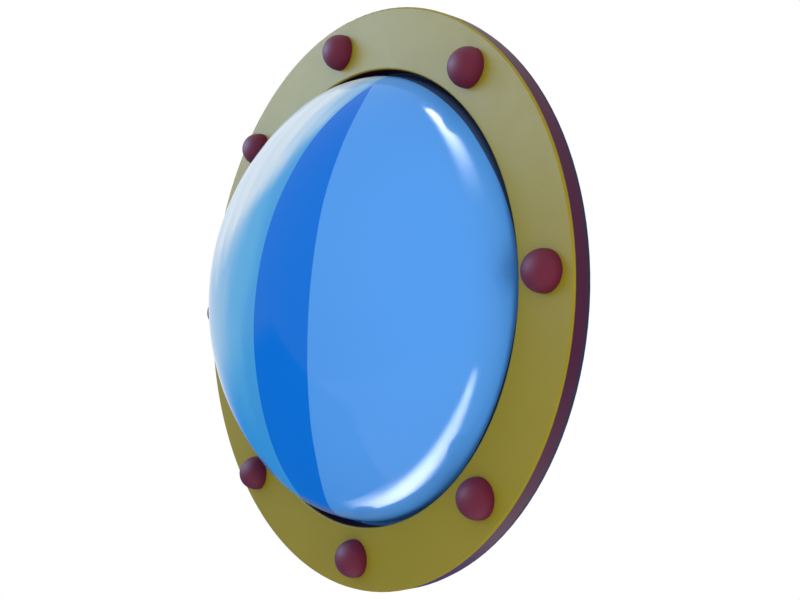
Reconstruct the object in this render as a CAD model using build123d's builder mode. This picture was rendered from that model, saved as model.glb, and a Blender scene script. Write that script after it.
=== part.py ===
from build123d import *

import os
from math import acos, cos, degrees, radians, sin, tan

# Fixed porthole window: a face ring, a blown dome clamped behind it, and eight capped mounting bolts.
# Millimetres. X right, Z up, the front faces -Y. The origin is the window's centre on the wall plane.
# Heights are counted from the wall plane towards the front, so a height h lies at y = -h.

# Face ring
ring_r = 310.0  # outer radius
ring_width = 65.0  # from the bore to the outside
ring_thick = 18.0
ring_front_round = 2.0  # rounded front edges, outside and in the bore
ring_back_chamfer = 0.8

# Wall gasket, and the front seal of the same sheet between the ring and the dome's flange
gasket_thick = 4.0
gasket_inset = 1.0  # its outer edge stands this far inside the ring's
gasket_spigot_gap = 1.0  # its bore stands this far outside the clamp ring's skirt
gasket_hole_gap = 1.0  # around a mounting bolt
seal_inset = 1.0  # the front seal's outer edge stands this far inside the clamp ring's

# Blown dome
dome_rise = 133.0  # crown in front of the ring's face
dome_side_r = 90.0  # arc of the side, which leaves the flange square
dome_bore_gap = 4.0  # between the side and the ring's bore, at the flange
dome_root_r = 3.5  # fillet between the side and the flange, outside
sheet_thick = 4.0  # the flange keeps the sheet's thickness
crown_thick = 3.0  # blowing thins the crown
flange_reach = 13.5  # the flange's outer edge, past the ring's bore

# Clamping of the flange
rear_seal_thick = 2.0
clamp_plate_thick = 6.0
clamp_skirt_wall = 2.7
clamp_skirt_gap = 0.3  # between the skirt and the flange's edge
clamp_bore_gap = 0.5  # the clamp ring's bore stands this far outside the ring's
clamp_edge = 1.0  # broken edges at the back

# Clamp screws, countersunk, driven from the back into the ring
screw_count = 16
screw_start = 11.25  # degrees from +X towards +Z
screw_r = 2.1
screw_head_r = 4.05
screw_sink_angle = 90.0
screw_bite = 14.0  # length inside the face ring
screw_tip = 2.0  # length of the pointed tip
screw_tip_r = 0.4
screw_hole_gap = 0.9  # in the flange and the two seals
screw_plate_gap = 0.3  # in the clamp ring
screw_sink_gap = 0.15  # around the head
screw_pilot_gap = 0.05  # around the thread, in the face ring
pilot_spare = 1.0  # pilot hole past the screw's tip

# Mounting bolts: round head, square neck, reduced shank, threaded end behind the wall plane
bolt_angles = (0.7, 48.2, 94.5, 134.4, 180.5, 226.8, 271.5, 314.4)  # from +X towards +Z
bolt_head_r = 12.0
bolt_head_height = 5.5
bolt_head_edge = 0.8  # straight edge under the round
bolt_neck = 10.0  # side of the square
bolt_neck_length = 6.0
bolt_shank_r = 4.5
bolt_thread_r = 5.0
bolt_free_end = 30.0  # length behind the wall plane
bolt_tip_chamfer = 1.0
bolt_neck_gap = 0.2
bolt_hole_gap = 0.5  # around the thread, in the face ring and the seats

# Snap caps and their seats
cap_r = 19.7  # of the foot, and of the round crown above it
cap_foot = 2.8  # height of the straight foot
cap_wall = 2.8  # at the foot
cap_crown_wall = 2.2
cap_bead_height = 1.8
seat_floor = 3.0
seat_height = 6.0
seat_wall = 2.4
seat_lip = 1.5  # height of the lip that the cap's bead hooks under
seat_foot = 1.8  # full-width foot below the snap groove
snap_gap = 0.3  # free gap between cap and seat
snap_catch = 0.3  # how far the bead hooks under the lip

# Worked out from the sizes above
bore_r = ring_r - ring_width
face_height = gasket_thick + ring_thick
bolt_circle_r = ring_r - ring_width / 2
dome_start_r = bore_r - dome_bore_gap
flange_r = bore_r + flange_reach
skirt_in_r = flange_r + clamp_skirt_gap
spigot_r = skirt_in_r + clamp_skirt_wall
clamp_bore_r = bore_r + clamp_bore_gap
plate_front = -(sheet_thick + rear_seal_thick)
plate_back = plate_front - clamp_plate_thick
screw_circle_r = (clamp_bore_r + flange_r) / 2
screw_hole_r = screw_r + screw_hole_gap
screw_angles = [screw_start + 360 / screw_count * i for i in range(screw_count)]
screw_tip_height = gasket_thick + screw_bite
screw_head_depth = (screw_head_r - screw_r) / tan(radians(screw_sink_angle / 2))
seat_top = face_height + seat_floor
neck_end = seat_top - bolt_neck_length
cap_in_r = cap_r - cap_wall
seat_r = cap_in_r - snap_gap
bead_r = seat_r - snap_catch
groove_r = bead_r - snap_gap

window_axis = Axis((0, 0, 0), (0, -1, 0))


def section_plane(circle_r, angle):
    """Plane through an axis at circle_r from the centre: x runs away from that axis, y is the height."""
    out_x = cos(radians(angle))
    out_z = sin(radians(angle))
    start = (circle_r * out_x, 0, circle_r * out_z)
    return Plane(origin=start, x_dir=(out_x, 0, out_z), z_dir=(out_z, 0, -out_x))


def own_axis(plane):
    """The axis that a section plane's profile turns about."""
    return Axis(plane.origin, (0, -1, 0))


def bolt_places(height):
    """Places of the eight bolts on the plane at that height, each turned to face the centre."""
    flat = Plane.XZ.offset(height)
    turns = [Location((0, 0, 0), (0, 0, angle)) for angle in bolt_angles]
    return [Location(flat) * turn * Location((bolt_circle_r, 0, 0)) for turn in turns]


def crown_radius(start_r, side_r, rise):
    """Radius of the crown arc that runs smoothly out of the side arc and peaks on the axis."""
    reach = start_r - side_r
    return (rise**2 + reach**2 - side_r**2) / (2 * (rise - side_r))


def side_turn(start_r, side_r, rise):
    """Degrees that the side arc turns before the crown arc takes over."""
    return degrees(acos((start_r - side_r) / (crown_radius(start_r, side_r, rise) - side_r)))


def bowl_radius(rim_r, rise):
    """Radius of the sphere that a round top or hollow of that rim and rise is cut from."""
    return (rim_r**2 + rise**2) / (2 * rise)


pieces = []


# Face ring: thick board, rounded in front, with the bolts' holes and square pockets, and pilot holes behind
with BuildPart() as face_ring:
    with BuildSketch(Plane.XZ.offset(gasket_thick)):
        Circle(ring_r)
        Circle(bore_r, mode=Mode.SUBTRACT)
    extrude(amount=ring_thick)
    fillet(face_ring.faces().sort_by(Axis.Y)[0].edges(), radius=ring_front_round)
    chamfer(face_ring.faces().sort_by(Axis.Y)[-1].edges(), length=ring_back_chamfer)
    with Locations(*bolt_places(face_height)):
        Hole(bolt_thread_r + bolt_hole_gap)
        pocket = bolt_neck + 2 * bolt_neck_gap
        pocket_depth = face_height - neck_end + bolt_neck_gap
        Box(pocket, pocket, 2 * pocket_depth, mode=Mode.SUBTRACT)
    with BuildSketch(Plane.XZ.offset(gasket_thick)):
        with PolarLocations(screw_circle_r, screw_count, start_angle=screw_start):
            Circle(screw_r + screw_pilot_gap)
    extrude(amount=screw_bite + pilot_spare, mode=Mode.SUBTRACT)
face_ring.part.label = "face_ring"
pieces.append(face_ring.part)


# Wall gasket: the part of the ring's back that lies on the wall, with the bolts' holes
with BuildPart() as wall_gasket:
    with BuildSketch(Plane.XZ):
        Circle(ring_r - gasket_inset)
        Circle(spigot_r + gasket_spigot_gap, mode=Mode.SUBTRACT)
    extrude(amount=gasket_thick)
    with Locations(*bolt_places(gasket_thick)):
        Hole(bolt_thread_r + gasket_hole_gap)
wall_gasket.part.label = "wall_gasket"
pieces.append(wall_gasket.part)


# Front seal: flat ring between the face ring and the dome's flange, level with the ring's bore
with BuildPart() as front_seal:
    with BuildSketch(Plane.XZ):
        Circle(spigot_r - seal_inset)
        Circle(bore_r, mode=Mode.SUBTRACT)
        with PolarLocations(screw_circle_r, screw_count, start_angle=screw_start):
            Circle(screw_hole_r, mode=Mode.SUBTRACT)
    extrude(amount=gasket_thick)
front_seal.part.label = "front_seal"
pieces.append(front_seal.part)


# Dome: flange, side arc and crown arc in one section, thinner at the crown
with BuildPart() as dome:
    outer_rise = face_height + dome_rise
    inner_rise = outer_rise - crown_thick + sheet_thick
    inner_start_r = dome_start_r - sheet_thick
    inner_side_r = dome_side_r - sheet_thick
    outer_turn = side_turn(dome_start_r, dome_side_r, outer_rise)
    inner_turn = side_turn(inner_start_r, inner_side_r, inner_rise)
    outer_crown_r = crown_radius(dome_start_r, dome_side_r, outer_rise)
    inner_crown_r = crown_radius(inner_start_r, inner_side_r, inner_rise)
    with BuildSketch(section_plane(0, 0)) as dome_section:
        with BuildLine():
            outer_side = JernArc((dome_start_r, 0), (0, 1), dome_side_r, outer_turn)
            outer_crown = JernArc(outer_side @ 1, outer_side % 1, outer_crown_r, 90 - outer_turn)
            inner_side = JernArc((inner_start_r, -sheet_thick), (0, 1), inner_side_r, inner_turn)
            inner_crown = JernArc(inner_side @ 1, inner_side % 1, inner_crown_r, 90 - inner_turn)
            Line(outer_crown @ 1, inner_crown @ 1)
            Polyline(outer_side @ 0, (flange_r, 0), (flange_r, -sheet_thick), inner_side @ 0)
        make_face()
        fillet(dome_section.vertices().sort_by_distance(outer_side @ 0)[0], radius=dome_root_r)
        back_root = dome_section.vertices().sort_by_distance(inner_side @ 0)[0]
        fillet(back_root, radius=dome_root_r + sheet_thick)
    revolve(axis=window_axis)
    with BuildSketch(Plane.XZ):
        with PolarLocations(screw_circle_r, screw_count, start_angle=screw_start):
            Circle(screw_hole_r)
    extrude(amount=-sheet_thick, mode=Mode.SUBTRACT)
dome.part.label = "dome"
pieces.append(dome.part)


# Rear seal: flat ring between the flange and the clamp ring
with BuildPart() as rear_seal:
    with BuildSketch(Plane.XZ.offset(plate_front)):
        Circle(flange_r)
        Circle(clamp_bore_r, mode=Mode.SUBTRACT)
        with PolarLocations(screw_circle_r, screw_count, start_angle=screw_start):
            Circle(screw_hole_r, mode=Mode.SUBTRACT)
    extrude(amount=rear_seal_thick)
rear_seal.part.label = "rear_seal"
pieces.append(rear_seal.part)


# Clamp ring: L-section; its skirt closes on the front seal, and its outside fits the wall's cut-out
with BuildPart() as clamp_ring:
    with BuildSketch(section_plane(0, 0)):
        with BuildLine():
            Polyline(
                (clamp_bore_r, plate_front),
                (skirt_in_r, plate_front),
                (skirt_in_r, 0),
                (spigot_r, 0),
                (spigot_r, plate_back),
                (clamp_bore_r, plate_back),
                close=True,
            )
        make_face()
    revolve(axis=window_axis)
    chamfer(clamp_ring.faces().sort_by(Axis.Y)[-1].edges(), length=clamp_edge)
    sinks = [section_plane(screw_circle_r, angle).origin for angle in screw_angles]
    with Locations(*[Plane((at.X, -plate_back, at.Z), z_dir=(0, 1, 0)) for at in sinks]):
        CounterSinkHole(
            radius=screw_r + screw_plate_gap,
            counter_sink_radius=screw_head_r + screw_sink_gap,
            counter_sink_angle=screw_sink_angle,
        )
clamp_ring.part.label = "clamp_ring"
pieces.append(clamp_ring.part)


# Clamp screws: flush heads in the clamp ring, pointed ends in the face ring
with BuildPart() as clamp_screws:
    for angle in screw_angles:
        screw_plane = section_plane(screw_circle_r, angle)
        with BuildSketch(screw_plane):
            with BuildLine():
                Polyline(
                    (0, plate_back),
                    (screw_head_r, plate_back),
                    (screw_r, plate_back + screw_head_depth),
                    (screw_r, screw_tip_height - screw_tip),
                    (screw_tip_r, screw_tip_height),
                    (0, screw_tip_height),
                    close=True,
                )
            make_face()
        revolve(axis=own_axis(screw_plane))
clamp_screws.part.label = "clamp_screws"
pieces.append(clamp_screws.part)


# Mounting bolts: the square neck keeps each bolt from turning while its nut is tightened behind the wall
with BuildPart() as mount_bolts:
    for angle in bolt_angles:
        bolt_plane = section_plane(bolt_circle_r, angle)
        with BuildSketch(bolt_plane):
            with BuildLine():
                head = Line((bolt_head_r, seat_top), (bolt_head_r, seat_top + bolt_head_edge))
                crown = (0, seat_top + bolt_head_height)
                RadiusArc(head @ 1, crown, -bowl_radius(bolt_head_r, bolt_head_height - bolt_head_edge))
                Polyline(
                    head @ 0,
                    (bolt_shank_r, seat_top),
                    (bolt_shank_r, 0),
                    (bolt_thread_r, 0),
                    (bolt_thread_r, bolt_tip_chamfer - bolt_free_end),
                    (bolt_thread_r - bolt_tip_chamfer, -bolt_free_end),
                    (0, -bolt_free_end),
                    crown,
                )
            make_face()
        revolve(axis=own_axis(bolt_plane))
    with Locations(*bolt_places((seat_top + neck_end) / 2)):
        Box(bolt_neck, bolt_neck, bolt_neck_length)
mount_bolts.part.label = "mount_bolts"
pieces.append(mount_bolts.part)


# Cap seats: a cup under each bolt's head, with a square hole, a snap groove and a lip
for number, angle in enumerate(bolt_angles, start=1):
    seat_plane = section_plane(bolt_circle_r, angle)
    with BuildPart() as cap_seat:
        with BuildSketch(seat_plane):
            with BuildLine():
                Polyline(
                    (0, face_height),
                    (seat_r, face_height),
                    (seat_r, face_height + seat_foot),
                    (groove_r, face_height + seat_foot),
                    (groove_r, face_height + seat_height - seat_lip),
                    (seat_r, face_height + seat_height - seat_lip),
                    (seat_r, face_height + seat_height),
                    (seat_r - seat_wall, face_height + seat_height),
                    (seat_r - seat_wall, seat_top),
                    (0, seat_top),
                    close=True,
                )
            make_face()
        revolve(axis=own_axis(seat_plane))
        with Locations(bolt_places(seat_top)[number - 1]):
            Box(pocket, pocket, 2 * seat_floor, mode=Mode.SUBTRACT)
    cap_seat.part.label = f"cap_seat_{number}"
    pieces.append(cap_seat.part)


# Dome caps: thin round shells with a bead inside that hooks under the seat's lip
for number, angle in enumerate(bolt_angles, start=1):
    cap_plane = section_plane(bolt_circle_r, angle)
    bead_top = face_height + seat_height - seat_lip - snap_gap
    cap_inside = face_height + seat_height + snap_gap
    cap_top = face_height + cap_foot + cap_r
    cap_ceiling = cap_top - cap_crown_wall
    with BuildPart() as dome_cap:
        with BuildSketch(cap_plane):
            with BuildLine():
                foot = Line((cap_r, face_height), (cap_r, face_height + cap_foot))
                outside = JernArc(foot @ 1, (0, 1), cap_r, 90)
                inside_r = bowl_radius(cap_in_r, cap_ceiling - cap_inside)
                RadiusArc((cap_in_r, cap_inside), (0, cap_ceiling), -inside_r)
                Line(outside @ 1, (0, cap_ceiling))
                Polyline(
                    (cap_in_r, cap_inside),
                    (cap_in_r, bead_top),
                    (bead_r, bead_top),
                    (bead_r, bead_top - cap_bead_height),
                    (cap_in_r, bead_top - cap_bead_height),
                    (cap_in_r, face_height),
                    foot @ 0,
                )
            make_face()
        revolve(axis=own_axis(cap_plane))
    dome_cap.part.label = f"dome_cap_{number}"
    pieces.append(dome_cap.part)


os.makedirs("parts", exist_ok=True)
for piece in pieces:
    export_step(piece, f"parts/{piece.label}.step")
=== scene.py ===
import math

import bpy
from mathutils import Matrix, Vector


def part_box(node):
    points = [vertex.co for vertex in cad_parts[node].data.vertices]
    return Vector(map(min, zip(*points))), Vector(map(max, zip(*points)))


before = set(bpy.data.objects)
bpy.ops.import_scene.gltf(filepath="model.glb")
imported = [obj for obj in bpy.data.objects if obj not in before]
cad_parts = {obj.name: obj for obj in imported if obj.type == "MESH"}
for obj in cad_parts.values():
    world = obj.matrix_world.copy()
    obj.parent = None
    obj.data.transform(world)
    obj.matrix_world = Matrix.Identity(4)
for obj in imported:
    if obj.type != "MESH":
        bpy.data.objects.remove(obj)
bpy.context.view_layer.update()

# Fixed porthole window. Metres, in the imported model's frame: +Z up, the front faces -Y,
# and the origin is the window's centre on the wall plane.

# The ring board's yellow skin ends on the rounded edge of its face
skin_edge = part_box("face_ring")[0].y + 0.002
seam_blur = 0.0006

# Edges of the dome's colour fields, seen from the front: points (z, x) from the top down. Left of the first
# lies the painted reflection of sky and cloud
reflection_edge = (
    (0.212, 0.076), (0.171, 0.057), (0.103, 0.039), (-0.024, 0.0145), (-0.118, -0.0065), (-0.187, -0.031),
    (-0.240, -0.052),
)
deep_edge = (
    (0.212, 0.075), (0.190, 0.0835), (0.150, 0.0915), (0.080, 0.0955), (0.0, 0.0925), (-0.080, 0.078),
    (-0.148, 0.054), (-0.181, 0.037), (-0.218, 0.010), (-0.240, -0.008),
)
# Upper edge of the painted shade on the dome's foot, where it lies in the shade of the ring's bore, as
# points (z, height above the wall)
painted_shade_edge = (
    (0.240, 0.026), (0.190, 0.0262), (0.150, 0.0243), (0.124, 0.0232), (0.078, 0.0185), (0.035, 0.0155),
    (0.0, 0.0145), (-0.060, 0.0165), (-0.141, 0.0162), (-0.170, 0.0137), (-0.199, 0.009), (-0.225, -0.0018),
    (-0.240, -0.006),
)
edge_blur = 0.0005

# Range of the curve nodes that draw those edges
curve_low = -0.3
curve_high = 0.3

# Thread of the mounting bolts
thread_pitch = 0.0015
thread_relief = 0.0003


def srgb(red, green, blue):
    """Linear colour of three 0 to 255 display values, by the sRGB curve."""
    levels = []
    for value in (red, green, blue):
        share = value / 255
        levels.append(share / 12.92 if share <= 0.04045 else ((share + 0.055) / 1.055) ** 2.4)
    return (*levels, 1.0)


class Graph:
    """A node tree, with short calls that add a node to it and give the node's output."""

    def __init__(self, tree):
        self.nodes = tree.nodes
        self.links = tree.links

    def add(self, kind, **settings):
        """New node of that kind. This call gives the node itself."""
        node = self.nodes.new("ShaderNode" + kind)
        for name, value in settings.items():
            setattr(node, name, value)
        return node

    def put(self, socket, value):
        """Links a node's output to a socket, or sets a plain value on it."""
        if isinstance(value, bpy.types.NodeSocket):
            self.links.new(value, socket)
        else:
            socket.default_value = value

    def math(self, operation, first, second=0.0, clamp=False):
        node = self.add("Math", operation=operation, use_clamp=clamp)
        self.put(node.inputs[0], first)
        self.put(node.inputs[1], second)
        return node.outputs[0]

    def plus(self, first, second):
        return self.math("ADD", first, second)

    def minus(self, first, second):
        return self.math("SUBTRACT", first, second)

    def times(self, first, second, clamp=False):
        return self.math("MULTIPLY", first, second, clamp)

    def split(self, vector):
        """The x, y and z of a vector."""
        node = self.add("SeparateXYZ")
        self.put(node.inputs[0], vector)
        return node.outputs

    def step(self, value, start, end):
        """Smooth step from 0 at start to 1 at end, which may lie below start."""
        node = self.add("MapRange", interpolation_type="SMOOTHSTEP")
        self.put(node.inputs["Value"], value)
        node.inputs["From Min"].default_value = start
        node.inputs["From Max"].default_value = end
        return node.outputs["Result"]

    def blend(self, share, first, second):
        """Mixes the shaders of two nodes."""
        node = self.add("MixShader")
        self.put(node.inputs[0], share)
        self.put(node.inputs[1], first.outputs[0])
        self.put(node.inputs[2], second.outputs[0])
        return node.outputs[0]


class Shader(Graph):
    """A node material with one Principled shader, and short calls for what feeds it."""

    def __init__(self, name, ior_level=0.5, metallic=0.0):
        self.material = node_material(name)
        super().__init__(self.material.node_tree)
        self.surface = self.nodes["Principled BSDF"]
        self.surface.inputs["Specular IOR Level"].default_value = ior_level
        self.surface.inputs["Metallic"].default_value = metallic
        self.place = self.add("TexCoord").outputs["Object"]
        self.x, self.y, self.z = self.split(self.place)

    def vector(self, x, y, z):
        node = self.add("CombineXYZ")
        for socket, value in zip(node.inputs, (x, y, z)):
            self.put(socket, value)
        return node.outputs[0]

    def curve(self, value, points):
        """Smooth curve through (value, result) points, both in metres."""
        node = self.add("FloatCurve")
        span = curve_high - curve_low
        places = sorted(((a - curve_low) / span, (b - curve_low) / span) for a, b in points)
        track = node.mapping.curves[0]
        while len(track.points) < len(places):
            track.points.new(0.5, 0.5)
        for point, place in zip(track.points, places):
            point.location = place
        node.mapping.update()
        share = self.math("DIVIDE", self.minus(value, curve_low), span)
        self.put(node.inputs["Value"], share)
        return self.plus(self.times(node.outputs[0], span), curve_low)

    def noise(self, scale, detail=2, at=None, roughness=0.5):
        """Noise from 0 to 1, with about that many features to the metre."""
        node = self.add("TexNoise")
        self.put(node.inputs["Vector"], at or self.place)
        node.inputs["Scale"].default_value = scale
        node.inputs["Detail"].default_value = detail
        node.inputs["Roughness"].default_value = roughness
        return node.outputs["Fac"]

    def spread(self, value, low, high):
        """Maps 0 to 1 to low to high."""
        node = self.add("MapRange")
        self.put(node.inputs["Value"], value)
        node.inputs["To Min"].default_value = low
        node.inputs["To Max"].default_value = high
        return node.outputs["Result"]

    def mix(self, share, first, second, blend_type="MIX"):
        """Mixes two colours. The node has sockets for other types too: the colours are 6, 7 and 2."""
        node = self.add("Mix", data_type="RGBA", blend_type=blend_type)
        self.put(node.inputs["Factor"], share)
        self.put(node.inputs[6], first)
        self.put(node.inputs[7], second)
        return node.outputs[2]

    def shade(self, colour, gain):
        """The colour times a grey gain."""
        grey = self.add("CombineColor")
        for socket in grey.inputs:
            self.put(socket, gain)
        return self.mix(1.0, colour, grey.outputs[0], blend_type="MULTIPLY")

    def mottle(self, first, second, blotches, grain, low, high, detail=3, grain_detail=2):
        """Two colours blended in blotches, then dimmed from low to high in a finer grain."""
        tone = self.mix(self.noise(blotches, detail), first, second)
        return self.shade(tone, self.spread(self.noise(grain, grain_detail), low, high))

    def colour(self, value):
        self.put(self.surface.inputs["Base Color"], value)

    def roughness(self, scale, low, high, detail=3):
        """Roughness that drifts between low and high."""
        self.put(self.surface.inputs["Roughness"], self.spread(self.noise(scale, detail), low, high))

    def bump(self, height, depth, strength):
        """Relief of that depth, on top of the relief already there."""
        node = self.add("Bump")
        node.inputs["Strength"].default_value = strength
        node.inputs["Distance"].default_value = depth
        self.put(node.inputs["Height"], height)
        before = self.surface.inputs["Normal"].links
        if before:
            self.put(node.inputs["Normal"], before[0].from_socket)
        self.put(self.surface.inputs["Normal"], node.outputs[0])


def node_material(name):
    material = bpy.data.materials.new(name)
    material.use_nodes = True
    return material


def add_object(name, data):
    """New object in the scene's own collection."""
    holder = bpy.data.objects.new(name, data)
    bpy.context.scene.collection.objects.link(holder)
    return holder


def flat_sheet(name, corners):
    """Flat sheet between four corners."""
    mesh = bpy.data.meshes.new(name)
    mesh.from_pydata(corners, [], [(0, 1, 2, 3)])
    return add_object(name, mesh)


def ring_board():
    """Two-coloured board: a yellow skin in front, a burgundy body behind it."""
    board = Shader("ring_board", ior_level=0.12)
    yellow = board.mottle(
        srgb(144, 131, 28), srgb(150, 136, 36), blotches=14, grain=1000, low=0.82, high=1.18, grain_detail=3
    )
    burgundy = board.mottle(srgb(60, 8, 44), srgb(68, 12, 52), blotches=30, grain=900, low=0.92, high=1.08)
    past_seam = board.step(board.y, skin_edge - seam_blur, skin_edge + seam_blur)
    board.colour(board.mix(past_seam, yellow, burgundy))
    board.roughness(60, low=0.38, high=0.48)
    board.bump(board.noise(1100), depth=0.00006, strength=0.35)
    # The cutter leaves fine lines round the board's edge, so their noise is squeezed along its depth
    round_edge = 60
    through_edge = 2600
    cut = board.vector(
        board.times(board.x, round_edge),
        board.times(board.y, through_edge),
        board.times(board.z, round_edge),
    )
    mill_marks = board.times(board.noise(1, 1, at=cut), past_seam)
    board.bump(mill_marks, depth=0.00005, strength=0.5)
    return board.material


def dome_plastic():
    """Blown blue sheet with three fields of colour, the left one a painted reflection of sky and cloud, and
    painted shade on its foot inside the ring's bore.
    """
    dome = Shader("dome_plastic", ior_level=0.1)
    past_reflection = dome.minus(dome.x, dome.curve(dome.z, reflection_edge))
    past_deep = dome.minus(dome.x, dome.curve(dome.z, deep_edge))
    # Left field: a painted reflection of sky and cloud
    sky_reflection = painted_sky_reflection(dome, past_reflection)
    deep = dome.mix(dome.noise(9), srgb(8, 114, 221), srgb(14, 118, 223))
    light = dome.mix(dome.noise(9), srgb(82, 157, 241), srgb(86, 160, 243))
    fields = dome.mix(dome.step(past_reflection, -edge_blur, edge_blur), sky_reflection, deep)
    fields = dome.mix(dome.step(past_deep, -edge_blur, edge_blur), fields, light)

    # Painted shade: below that edge the dome is painted navy, for the shade in the gap between it and the
    # ring's bore
    height = dome.times(dome.y, -1.0)
    above_painted_shade = dome.minus(height, dome.curve(dome.z, painted_shade_edge))
    dome.colour(dome.mix(dome.step(above_painted_shade, edge_blur, -edge_blur), fields, srgb(58, 78, 118)))
    dome.roughness(25, low=0.09, high=0.13, detail=2)
    dome.bump(dome.noise(18, 1), depth=0.0002, strength=0.05)
    return dome.material


def painted_sky_reflection(dome, past_reflection):
    """The dome's left field: a painted reflection of blue sky, with streaked white cloud at its top and a
    thin veil under it.

    Each pair below is where a smooth step starts and ends: across is measured from the field's edge, and
    up from the window's centre.
    """
    reflected_cloud_width = 0.042
    reflected_cloud_up = (-0.01, 0.10)
    reflected_cloud_near_edge_up = (0.14, 0.05)
    veil_across = (-0.04, -0.085)
    veil_up = (-0.12, -0.01)
    veil_strength = 0.22
    thin_across = (-0.09, -0.16)
    thin_strength = 0.35
    horizon_up = (-0.16, -0.06)
    edge_across = (-0.03, 0.0)
    edge_strength = 0.7
    streak_across = 0.07
    streak_up = 0.12
    wisps_low = 0.5
    wisps_high = 1.35

    streak = dome.minus(drawn_out_noise(dome, past_reflection, across=24, up=8, roughness=0.45), 0.5)
    wisps = drawn_out_noise(dome, past_reflection, across=70, up=14, roughness=0.5)
    across = dome.plus(past_reflection, dome.times(streak, streak_across))
    up = dome.plus(dome.z, dome.times(streak, streak_up))

    # The painted white of the reflected cloud starts at the field's edge at its top, and a cloud's width
    # further from it lower down
    start = dome.times(dome.step(up, *reflected_cloud_near_edge_up), -reflected_cloud_width)
    past_start = dome.minus(across, start)
    white = dome.times(dome.step(past_start, 0.0, -reflected_cloud_width), dome.step(up, *reflected_cloud_up))
    veil = dome.times(dome.step(across, *veil_across), dome.step(up, *veil_up))
    haze = dome.math("MAXIMUM", white, dome.times(veil, veil_strength), clamp=True)
    haze = dome.times(haze, dome.spread(dome.step(across, *thin_across), 1.0, thin_strength))
    haze = dome.times(haze, dome.spread(wisps, wisps_low, wisps_high), clamp=True)

    # Painted reflection: sky paler above its horizon, a deeper blue near the field's edge, and the
    # reflected cloud's haze in white over it
    sky = dome.mix(dome.step(dome.z, *horizon_up), srgb(62, 160, 227), srgb(90, 176, 230))
    near_edge = dome.times(dome.step(across, *edge_across), edge_strength)
    sky = dome.mix(near_edge, sky, srgb(64, 156, 226))
    return dome.mix(haze, sky, srgb(220, 235, 246))


def drawn_out_noise(dome, past_reflection, across, up, roughness):
    """Noise that runs along the painted reflection field's edge, with that many features to the metre each
    way.
    """
    at = dome.vector(dome.times(past_reflection, across), 0.0, dome.times(dome.z, up))
    return dome.noise(1, 3, at=at, roughness=roughness)


def cap_plastic(name):
    """Moulded burgundy plastic with a fine orange-peel surface."""
    cap = Shader(name, ior_level=0.3)
    burgundy = cap.mottle(srgb(92, 18, 44), srgb(102, 22, 52), blotches=40, grain=1600, low=0.93, high=1.07)
    cap.colour(burgundy)
    cap.roughness(120, low=0.54, high=0.66)
    cap.bump(cap.noise(420), depth=0.00008, strength=0.4)
    cap.bump(cap.noise(1800), depth=0.00003, strength=0.4)
    return cap.material


def rubber(name, dark, pale, rough):
    """Sheet rubber with a fine grain and faint dust."""
    rough_spread = 0.06
    sheet = Shader(name, ior_level=0.2)
    sheet.colour(sheet.mottle(dark, pale, blotches=45, detail=4, grain=1500, low=0.85, high=1.15))
    sheet.roughness(80, low=rough - rough_spread, high=rough + rough_spread)
    sheet.bump(sheet.noise(2200), depth=0.00005, strength=0.6)
    return sheet.material


def clamp_plastic():
    """Dark moulded ring with a fine spark-eroded texture."""
    clamp = Shader("clamp_plastic", ior_level=0.4)
    grey = clamp.mottle(srgb(56, 60, 68), srgb(66, 70, 78), blotches=35, grain=1700, low=0.88, high=1.12)
    clamp.colour(grey)
    clamp.roughness(90, low=0.44, high=0.56)
    clamp.bump(clamp.noise(2600), depth=0.00005, strength=0.7)
    return clamp.material


def plated_steel(name, pitch=None):
    """Zinc-plated steel with faint mottling, and the thread's ridges where a pitch is given."""
    steel = Shader(name, metallic=1.0)
    zinc = steel.mottle(
        srgb(176, 176, 172), srgb(205, 204, 196), blotches=220, detail=4, grain=900, low=0.9, high=1.05,
        grain_detail=3,
    )
    steel.colour(zinc)
    steel.roughness(300, low=0.24, high=0.4)
    steel.bump(steel.noise(1500, 3), depth=0.00003, strength=0.5)
    if pitch:
        ridges = steel.math("SINE", steel.times(steel.y, 2 * math.pi / pitch))
        steel.bump(ridges, depth=thread_relief, strength=0.8)
    return steel.material


def dress():
    """Gives each CAD node its material. Numbered caps and seats share the look of their name."""
    gasket = rubber("gasket_rubber", srgb(14, 26, 54), srgb(22, 36, 68), rough=0.6)
    looks = {
        "rear_seal": rubber("seal_rubber", srgb(28, 28, 32), srgb(40, 40, 44), rough=0.62),
        "cap_seat": cap_plastic("seat_plastic"),
        "dome_cap": cap_plastic("cap_plastic"),
        "face_ring": ring_board(),
        "wall_gasket": gasket,
        "front_seal": gasket,
        "dome": dome_plastic(),
        "clamp_ring": clamp_plastic(),
        "clamp_screws": plated_steel("screw_steel"),
        "mount_bolts": plated_steel("bolt_steel", pitch=thread_pitch),
    }
    for name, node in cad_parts.items():
        look = looks[name.rstrip("_0123456789")]
        for slot in node.material_slots:
            slot.material = look


def seen_rays(graph):
    """1 for the rays that see the surroundings: camera, glossy and transmission rays."""
    rays = graph.add("LightPath").outputs
    seen = graph.math("MAXIMUM", rays["Is Camera Ray"], rays["Is Glossy Ray"])
    return graph.math("MAXIMUM", seen, rays["Is Transmission Ray"])


def floor():
    """Pale floor that is seen as white and takes a shadow."""
    floor_z = -1.75
    half = 3.0
    outline = ((-half, -half), (half, -half), (half, half), (-half, half))
    ground = flat_sheet("floor", [(x, y, floor_z) for x, y in outline])
    paint = node_material("floor_paint")
    graph = Graph(paint.node_tree)
    surface = graph.nodes["Principled BSDF"]
    surface.inputs["Base Color"].default_value = (0.86, 0.86, 0.86, 1.0)
    surface.inputs["Roughness"].default_value = 0.9
    surface.inputs["Specular IOR Level"].default_value = 0.0
    surface.inputs["Emission Color"].default_value = (1.0, 1.0, 1.0, 1.0)
    graph.put(surface.inputs["Emission Strength"], seen_rays(graph))
    ground.data.materials.append(paint)


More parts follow.
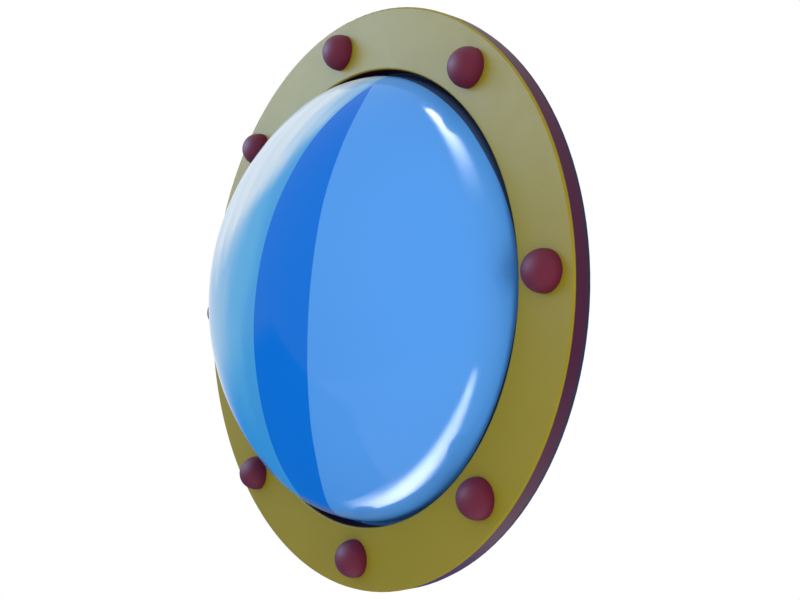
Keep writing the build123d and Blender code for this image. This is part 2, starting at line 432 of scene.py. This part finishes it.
def surroundings():
    """Even pale light from all round, which is seen as white."""
    world = bpy.data.worlds.new("surroundings")
    bpy.context.scene.world = world
    world.use_nodes = True
    graph = Graph(world.node_tree)
    fill = graph.nodes["Background"]
    fill.inputs["Color"].default_value = (0.97, 0.98, 1.0, 1.0)
    fill.inputs["Strength"].default_value = 0.82
    white = graph.add("Background")
    white.inputs["Color"].default_value = (1.0, 1.0, 1.0, 1.0)
    white.inputs["Strength"].default_value = 1.0
    graph.put(graph.nodes["World Output"].inputs["Surface"], graph.blend(seen_rays(graph), fill, white))


def lamp(name, size, watts, colour, place, turn, diffuse=True, gloss=True):
    """Rectangular lamp of that width and height, which the camera doesn't see."""
    light = bpy.data.lights.new(name, "AREA")
    light.shape = "RECTANGLE"
    light.size, light.size_y = size
    light.energy = watts
    light.color = colour[:3]
    holder = add_object(name, light)
    holder.location = place
    holder.rotation_mode = "QUATERNION"
    holder.rotation_quaternion = turn
    holder.visible_camera = False
    holder.visible_diffuse = diffuse
    holder.visible_glossy = gloss
    return holder


def panel(name, size, watts, colour, place, diffuse=True, gloss=True):
    """Soft lamp at place, facing the window's centre."""
    turn = (-Vector(place)).to_track_quat("-Z", "Y")
    return lamp(name, size, watts, colour, place, turn, diffuse, gloss)


def strip(name, start, end, width, watts, target):
    """Long white lamp from start to end that shows only as a soft streak in gloss, facing the target."""
    white = (1.0, 1.0, 1.0)
    run = Vector(end) - Vector(start)
    place = (Vector(start) + Vector(end)) / 2
    along = run.normalized()
    back = place - Vector(target)
    back = (back - back.dot(along) * along).normalized()
    turn = Matrix((along, back.cross(along), back)).transposed().to_quaternion()
    holder = lamp(name, (run.length, width), watts, white, place, turn, diffuse=False)
    fade_out(holder.data)
    return holder


def fade_out(light):
    """Fades a lamp from a bright core round its middle to nothing at its ends and sides."""
    middle = 0.5
    core_along = 0.22
    core_across = 0.08
    light.use_nodes = True
    graph = Graph(light.node_tree)
    spot = graph.split(graph.add("NewGeometry").outputs["Parametric"])
    shares = []
    for place, core in ((spot["X"], core_along), (spot["Y"], core_across)):
        off_middle = graph.math("ABSOLUTE", graph.minus(place, middle))
        shares.append(graph.step(off_middle, middle, core))
    graph.put(graph.nodes["Emission"].inputs["Strength"], graph.times(*shares))


def link_lamp(holder, nodes, alone=False):
    """Lets a lamp light just these CAD nodes, and if alone, in the shadow of no others."""
    group = bpy.data.collections.new(holder.name + "_lights")
    for node in nodes:
        group.objects.link(node)
    holder.light_linking.receiver_collection = group
    if alone:
        holder.light_linking.blocker_collection = group


def lamps():
    """Three soft lamps that light without gloss, and three that show only in gloss."""
    sky_blue = (0.37, 0.60, 1.0)
    warm_white = srgb(255, 250, 240)
    warmer_white = srgb(255, 247, 236)
    panel("sky_side", size=(1.6, 1.2), watts=6, colour=sky_blue, place=(-1.9, -1.15, 1.15), gloss=False)
    panel("front_fill", size=(1.6, 1.6), watts=4, colour=warm_white, place=(1.4, -2.2, 0.6), gloss=False)
    panel(
        "near_fill", size=(0.8, 0.8), watts=5, colour=warmer_white, place=(1.65, -0.38, -0.25), gloss=False
    )

    satin = [node for name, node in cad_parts.items() if name.startswith(("face_ring", "dome_cap"))]
    sheen = panel(
        "sky_sheen", size=(2.2, 1.4), watts=145, colour=sky_blue, place=(-1.55, -1.65, 1.0), diffuse=False
    )
    link_lamp(sheen, satin)

    upper = strip(
        "upper_strip", start=(-0.15, 0.117, 3.18), end=(0.605, -0.153, 0.346), width=0.32, watts=170,
        target=(0.18, -0.035, 0.15),
    )
    lower = strip(
        "lower_strip", start=(2.18, -0.614, -1.361), end=(-0.51, 0.076, -0.739), width=0.34, watts=165,
        target=(0.18, -0.04, -0.13),
    )
    for holder in (upper, lower):
        link_lamp(holder, [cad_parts["dome"]], alone=True)


def sky_card():
    """Blue card left of and below the window, seen only in gloss: it keeps the dome's lower rim blue."""
    top_x = -1.5
    top_z = -0.12
    bottom_x = -0.35
    bottom_z = -1.6
    near_y = -1.8
    far_y = 1.4
    fade_share = 0.2  # of its height, at its top
    corners = (
        (bottom_x, near_y, bottom_z),
        (bottom_x, far_y, bottom_z),
        (top_x, far_y, top_z),
        (top_x, near_y, top_z),
    )
    card = flat_sheet("sky_card", corners)
    card.visible_camera = False
    card.visible_diffuse = False
    card.visible_transmission = False
    card.visible_shadow = False
    paint = node_material("card_paint")
    graph = Graph(paint.node_tree)
    graph.nodes.remove(graph.nodes["Principled BSDF"])
    glow = graph.add("Emission")
    glow.inputs["Color"].default_value = srgb(40, 130, 226)
    clear = graph.add("BsdfTransparent")
    height = graph.split(graph.add("TexCoord").outputs["Object"])["Z"]
    shown = graph.step(height, top_z, top_z - fade_share * (top_z - bottom_z))
    graph.put(graph.nodes["Material Output"].inputs["Surface"], graph.blend(shown, clear, glow))
    card.data.materials.append(paint)


def photo_camera():
    """Camera at the photograph's place: right of the window, close to it and a little below its centre."""
    place = Vector((0.8377, -0.6507, -0.0926))
    ahead = Vector((-0.7665, 0.6367, 0.0847)).normalized()
    right = Vector((0.6390, 0.7692, 0.0)).normalized()
    turn = Matrix((right, right.cross(ahead), -ahead)).transposed()
    data = bpy.data.cameras.new("camera")
    data.sensor_width = 36.0
    data.lens = 43.56
    camera = add_object("camera", data)
    camera.matrix_world = Matrix.Translation(place) @ turn.to_4x4()
    bpy.context.scene.camera = camera


dress()
floor()
surroundings()
lamps()
sky_card()
photo_camera()
bpy.context.scene.view_settings.view_transform = "Standard"
